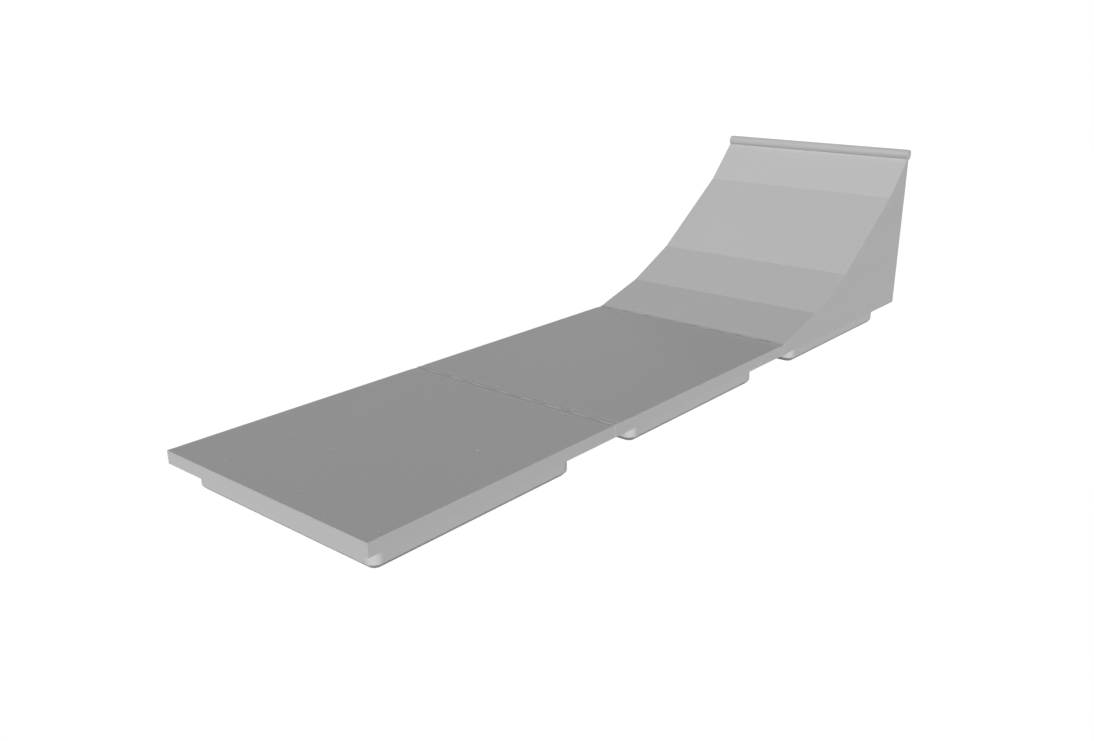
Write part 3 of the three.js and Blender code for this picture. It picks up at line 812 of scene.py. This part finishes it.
def pod_cutters(section):
    """What is cut out of the tub: screw wells and holes, the grooves below and the strips' seats."""
    s = sizes()
    low, high = corners(f"{section}_pod")
    past, lead, hole, taper, fit = 0.001, 0.0008, 0.0035, 0.002, 0.0006
    outside = low[2] - past
    land, through = high[2] - s.boss_land - outside, high[2] + past - outside
    well = np.array([[s.boss_bore + lead, 0], [s.boss_bore + lead, past], [s.boss_bore, past + lead],
                     [s.boss_bore, land], [hole, land], [hole, through]])
    cut = [turned("wells", well, SIDES["post"], UP, post_places(section, outside))]
    for row in (-2, -1, 1, 2):
        middle = (low + high) / 2 + [0, row * s.groove_pitch, 0]
        levels = ((0, outside), (0, low[2]), (taper, low[2] + s.groove_depth))
        cut.append(loft("groove", [
            rounded_ring(middle, s.groove_length - narrow, s.groove_width - narrow,
                         (s.groove_width - narrow) / 2 - MERGE, z, per_corner=16)
            for narrow, z in levels]))
    for number in (1, 2):
        strip_low, strip_high = corners(f"{section}_pod_strip_{number}")
        middle, span = (strip_low + strip_high) / 2, strip_high - strip_low + fit
        cut.append(loft("seat", [
            rounded_ring(middle, span[0], span[1], span[0] / 2 - MERGE, z, per_corner=24)
            for z in (outside, strip_high[2])]))
    return cut


def rubber_strip(node):
    """A rubber strip: a long rounded outline with a chamfered tread and three grooves along it."""
    low, high = corners(node)
    middle, span, half = (low + high) / 2, high - low, sizes().tread / 2
    chamfer, past, depth, taper = 0.0008, 0.001, 0.0015, sizes().tread / 5
    rings = [rounded_ring(middle, *(span[:2] - 2 * inset), span[0] / 2 - inset - MERGE, z, per_corner=24)
             for inset, z in ((chamfer, low[2]), (0, low[2] + chamfer), (0, high[2]))]
    piece = loft(f"{node}_dressed", rings)
    for share in (-0.25, 0, 0.25):
        x = middle[0] + share * span[0]
        start, end = [x - half, low[1] + span[0] / 2], [x + half, high[1] - span[0] / 2]
        groove = [rectangle_ring(start, end, low[2] - past),
                  rectangle_ring(start, end, low[2] + depth, taper)]
        combine(piece, loft("tread", groove), "DIFFERENCE")
    return piece


class RAMP_OT_pods(RampOperator, bpy.types.Operator):
    """Model the moulded base pods, their screws and their rubber strips"""

    bl_idname = "ramp.pods"
    bl_label = "Base pods"

    def execute(self, context):
        # A pan head with its collar, from the recess out and down to the shank's tip.
        collar = 0.0034
        pan_head = np.array([[0.0016, -0.0014], [0.0018, 0], [0.0035, 0], [0.0052, -0.0008], [0.006, -0.0024],
                             [0.0064, -0.0028], [0.0064, -collar], [0.0026, -0.0036], [0.0026, -0.028]])
        for section, body in PODS.items():
            piece = pod_shell(section)
            for part in pod_inside(section):
                combine(piece, part, "UNION")
            for part in pod_cutters(section):
                combine(piece, part, "DIFFERENCE")
            finished(piece, "pod_plastic", body, f"{section}_pod", degrees=25)
            land = corners(f"{section}_pod")[1][2] - sizes().boss_land
            places = post_places(section, land - collar)
            screws = turned(f"{section}_pod_screws", pan_head, SIDES["fitting"], DOWN, places, star=1.3)
            finished(screws, "fitting_steel", body)
            for number in (1, 2):
                node = f"{section}_pod_strip_{number}"
                finished(rubber_strip(node), "grip_rubber", body, node)
        return {"FINISHED"}


def coping_tube(centre, half, radius):
    """The closed tube: a turned outline, whose end discs lie a little inside the tube's ends behind a
    fine weld groove, less its bore."""
    wall, lip = sizes().coping_wall, 0.0006
    bore = radius - wall
    end = [[radius, half - lip], [radius - lip, half], [bore + lip, half], [bore, half - lip],
           [bore - 2 * lip, half - lip / 2], [0.05 * bore, half - lip / 2]]
    outside = np.array(end[::-1] + [[r, -z] for r, z in end])
    inside = np.array([[bore, half - wall], [bore, wall - half]])
    piece, hollow = [turned("coping_dressed", outline, sizes().coping_sides, ACROSS, [centre])
                     for outline in (outside, inside)]
    return combine(piece, hollow, "DIFFERENCE")


def coping_drills(radius, lean, places):
    """Cutters for the coping's screws: access holes with eased mouths through the upper wall and
    holes for the shanks through the lower one."""
    mouth, access, shank, lip = 0.0085, 0.008, 0.0033, 0.0006
    upper = [[mouth, 2 * radius], [mouth, radius + lip], [access, radius - lip], [access, 0.0]]
    lower = [[shank, 0.0], [shank, -2 * radius]]
    return [turned("drill", np.array(outline), SIDES["drill"], lean, places) for outline in (upper, lower)]


def coping_screw_profile(bore, wide):
    """Radius and height of a coping screw, from the recess out and down to its point. The flat head
    bears on the bore's round wall along its two sides."""
    lift, head, point = 0.0003, 0.0035, 0.003
    bearing, tip = -math.sqrt(bore ** 2 - wide ** 2) + lift, -bore - sizes().coping_screw
    top = bearing + head
    return np.array([[0.0021, top - 0.0018], [0.0024, top], [wide - 0.0007, top], [wide, top - 0.0006],
                     [wide, bearing], [wide / 2, bearing], [wide / 2, tip + point], [0.0004, tip]])


class RAMP_OT_coping(RampOperator, bpy.types.Operator):
    """Model the coping tube and finish its screws"""

    bl_idname = "ramp.coping"
    bl_label = "Coping"

    def execute(self, context):
        centre, tilt = middle_of("coping"), sizes().coping_lean
        _, half, radius = corners("coping")[1] - centre
        lean = (math.sin(tilt), 0, math.cos(tilt))
        nodes = [f"coping_screw_{i}" for i in (1, 2, 3)]
        places = [centre * [1, 0, 1] + [0, middle_of(node)[1], 0] for node in nodes]
        piece = coping_tube(centre, half, radius)
        for drill in coping_drills(radius, lean, places):
            combine(piece, drill, "DIFFERENCE")
        finished(piece, "coping_steel", QUARTER, "coping")
        for node, place in zip(nodes, places):
            low, high = corners(node)
            profile = coping_screw_profile(radius - sizes().coping_wall, (high[1] - low[1]) / 2)
            screw = turned(f"{node}_dressed", profile, SIDES["fitting"], lean, [place], star=1.3)
            finished(screw, "fitting_steel", QUARTER, node)
        return {"FINISHED"}


def prisms(name, outline, starts, ends):
    """Solids with one outline, given in x and z, that run across the ramp between starts and ends."""
    rings = [np.insert(outline, 1, y, axis=1) for span in zip(starts, ends) for y in span]
    return build_mesh(name, np.concatenate(rings), stack_faces(2, len(outline), len(starts)))


def knuckle_outline(drop):
    """A leaf's rolled edge about the pin: its lower face, the outer curl round to the free end, the
    inner curl back and its upper face. The drop is how far the leaf's top lies under the pin."""
    s = sizes()
    step, root = 0.0001, s.hinge_barrel + 0.0014
    top, bottom = -drop - step, -drop - s.hinge_gauge + step
    free_end = math.radians(8)
    outer = np.linspace(2 * np.pi + math.asin(bottom / s.hinge_barrel), free_end, 40)
    inner = np.linspace(free_end, 2 * np.pi + math.asin(top / s.hinge_bore), 36)
    curl = [s.hinge_barrel * np.stack([np.cos(outer), np.sin(outer)], -1),
            s.hinge_bore * np.stack([np.cos(inner), np.sin(inner)], -1)]
    return np.concatenate([[[root, bottom]], *curl, [[root, top]]])


def hinge_leaf(name, pin, slope, forward):
    """One leaf with its share of the knuckles, let into the sheet on one side of the pin: every other
    knuckle, mirrored for the other leaf. Its screws stand in a zigzag."""
    s = sizes()
    low, high = corners(pin)
    edge, gap, zigzag = 0.0003, 0.0003, 0.004
    drop = s.hinge_drop * math.cos(slope)
    plate_start, under = s.hinge_barrel + 0.0004, -drop - s.hinge_gauge
    plate = np.array([[plate_start, under], [s.hinge_leaf, under], [s.hinge_leaf, -drop - edge],
                      [s.hinge_leaf - edge, -drop], [plate_start, -drop]])
    turn = np.array([[forward * math.cos(slope), math.sin(slope)],
                     [-forward * math.sin(slope), math.cos(slope)]])
    place = middle_of(pin)[[0, 2]]
    pitch = (high[1] - low[1]) / s.hinge_knuckles
    starts = low[1] + np.arange(0, s.hinge_knuckles, 2) * pitch + gap / 2
    ends = starts + pitch - gap
    if forward < 0:
        starts, ends = -ends, -starts
    leaf = prisms(name, plate @ turn + place, [low[1]], [high[1]])
    combine(leaf, prisms("knuckles", knuckle_outline(drop) @ turn + place, starts, ends), "UNION")
    normal = np.array([-forward * math.sin(slope), 0, math.cos(slope)])
    along = np.linspace(low[1] + pitch / 2, high[1] - pitch / 2, s.hinge_screws)
    reach = (plate_start + s.hinge_leaf) / 2 + zigzag * (-1) ** np.arange(s.hinge_screws)
    line = np.stack([reach, np.full_like(reach, -drop)], -1) @ turn + place
    places = np.stack([line[:, 0], along, line[:, 1]], -1)
    combine(leaf, countersinks(places, normal, s.hinge_screw_head), "DIFFERENCE")
    return leaf, places, normal


class RAMP_OT_hinges(RampOperator, bpy.types.Operator):
    """Model the continuous hinges: rolled knuckles, pins and screws"""

    bl_idname = "ramp.hinges"
    bl_label = "Hinges"

    def execute(self, context):
        foot_slope = math.acos(panel_plane(PANELS[0])[3][2])
        hinges = {"front_hinge": (FRONT, MIDDLE, 0.0), "rear_hinge": (MIDDLE, QUARTER, foot_slope)}
        for name, (front, rear, slope) in hinges.items():
            pin = f"{name}_pin"
            for number, body, lean, forward in ((1, front, 0.0, -1), (2, rear, slope, 1)):
                node = f"{name}_leaf_{number}"
                leaf, places, normal = hinge_leaf(f"{node}_dressed", pin, lean, forward)
                finished(leaf, "fitting_steel", body, node, degrees=25, finish=name)
                add_screws(f"{node}_screws", places, normal, body, sizes().hinge_screw_head)
            _, half, radius = corners(pin)[1] - middle_of(pin)
            end = [[0.4 * radius, half], [0.85 * radius, half - 0.0003], [radius, half - 0.0008]]
            profile = np.array(end + [[r, -z] for r, z in end[::-1]])
            rod = turned(f"{pin}_dressed", profile, SIDES["fitting"], ACROSS, [middle_of(pin)])
            finished(rod, "fitting_steel", rear, pin)
        return {"FINISHED"}


class RAMP_OT_stage(RampOperator, bpy.types.Operator):
    """Set the floor, lamps, world and camera"""

    bl_idname = "ramp.stage"
    bl_label = "Stage"

    def execute(self, context):
        stage = context.scene.ramp_stage
        add_floor()
        look, key_softness, fill_softness = Vector(stage.look), 4.0, 25.0
        add_sun("key", look, stage.key_strength, key_softness)
        fill = add_sun("fill", Vector((-look.x, -look.y, 0)), stage.fill_strength, fill_softness)
        fill.visible_glossy = False  # it lights the far sides and leaves no glare on the flat sheets
        set_world(stage.ambient)
        add_camera(stage)
        context.scene.view_settings.view_transform = "Standard"
        return {"FINISHED"}


def seen_mask(nodes):
    """1 for camera, mirror and glass rays and 0 for the rays that light things."""
    paths = nodes.node("LightPath").socket.node.outputs
    rays = [Value(nodes, paths[name]) for name in ("Is Camera Ray", "Is Glossy Ray", "Is Transmission Ray")]
    total = rays[0] + rays[1] + rays[2]
    return nodes.node("Math", {0: total, 1: 1.0}, {"operation": "MINIMUM"})


def add_floor():
    """A floor that glows nearly white where it is seen and still takes the ramp's shadow."""
    half, tone, glow = 9.0, 0.09, 0.96
    finish = Finish("floor", Roughness=0.9, Base_Color=(tone, tone, tone, 1), Emission_Color=WHITE)
    finish.set("Emission Strength", glow * seen_mask(finish))
    points = np.array([[-half, -half, 0], [half, -half, 0], [half, half, 0], [-half, half, 0]])
    floor = build_mesh("floor", points, [[0, 1, 2, 3]])
    floor.data.materials.append(finish.material)


def add_sun(name, direction, strength, softness):
    """A far lamp that shines along a direction; softness is its width in degrees."""
    lamp, distance = bpy.data.lights.new(name, "SUN"), 4
    lamp.energy, lamp.angle = strength, math.radians(softness)
    lamp_object = bpy.data.objects.new(name, lamp)
    lamp_object.rotation_euler = direction.to_track_quat("-Z", "Y").to_euler()
    lamp_object.location = -distance * direction.normalized()
    bpy.context.scene.collection.objects.link(lamp_object)
    return lamp_object


def set_world(ambient):
    """A world that lights things evenly and looks white."""
    world = bpy.data.worlds.new("studio")
    world.use_nodes = True
    bpy.context.scene.world = world
    nodes = Nodes(world.node_tree)
    sockets = nodes.tree.nodes["Background"].inputs
    nodes.feed(sockets["Color"], WHITE)
    nodes.feed(sockets["Strength"], ambient + (1 - ambient) * seen_mask(nodes))


def add_camera(stage):
    """The camera, placed by shares of the ramp's width from the deck's front near corner."""
    low, high = corners("front_sheet")
    width = high[1] - low[1]
    corner = Vector((low[0], low[1], high[2]))
    camera = bpy.data.cameras.new("camera")
    camera.lens, camera.sensor_width = stage.lens, 36.0
    camera.shift_x, camera.shift_y = stage.shift
    camera_object = bpy.data.objects.new("camera", camera)
    camera_object.location = corner + Vector(stage.eye) * width
    camera_object.rotation_euler = Vector(stage.look).to_track_quat("-Z", "Y").to_euler()
    bpy.context.scene.collection.objects.link(camera_object)
    bpy.context.scene.camera = camera_object


# ---- Add-on ----

GROUPS = {"ramp_sizes": RampSizes, "ramp_colours": RampColours, "ramp_stage": RampStage}
PIECES = (RAMP_OT_stage, RAMP_OT_sheets, RAMP_OT_transition, RAMP_OT_timbers, RAMP_OT_pods, RAMP_OT_coping,
          RAMP_OT_hinges)


class RAMP_PT_panel(bpy.types.Panel):
    """The ramp's pieces and their settings"""

    bl_label = "Fold-up ramp"
    bl_idname = "RAMP_PT_panel"
    bl_space_type = "VIEW_3D"
    bl_region_type = "UI"
    bl_category = "Ramp"

    def draw(self, context):
        for operator in PIECES:
            self.layout.operator(operator.bl_idname)
        for group in GROUPS:
            box = self.layout.box()
            settings = getattr(context.scene, group)
            for name in settings.__annotations__:
                box.prop(settings, name)


CLASSES = (*GROUPS.values(), *PIECES, RAMP_PT_panel)


def register():
    """Registers the classes and the scene's settings."""
    for cls in CLASSES:
        bpy.utils.register_class(cls)
    for name, group in GROUPS.items():
        setattr(bpy.types.Scene, name, PointerProperty(type=group))


def unregister():
    """Takes the settings and classes away again."""
    for name in GROUPS:
        delattr(bpy.types.Scene, name)
    for cls in reversed(CLASSES):
        bpy.utils.unregister_class(cls)


def main():
    """Makes every piece in order."""
    register()
    for operator in PIECES:
        group, name = operator.bl_idname.split(".")
        getattr(getattr(bpy.ops, group), name)()


if __name__ == "__main__":
    main()
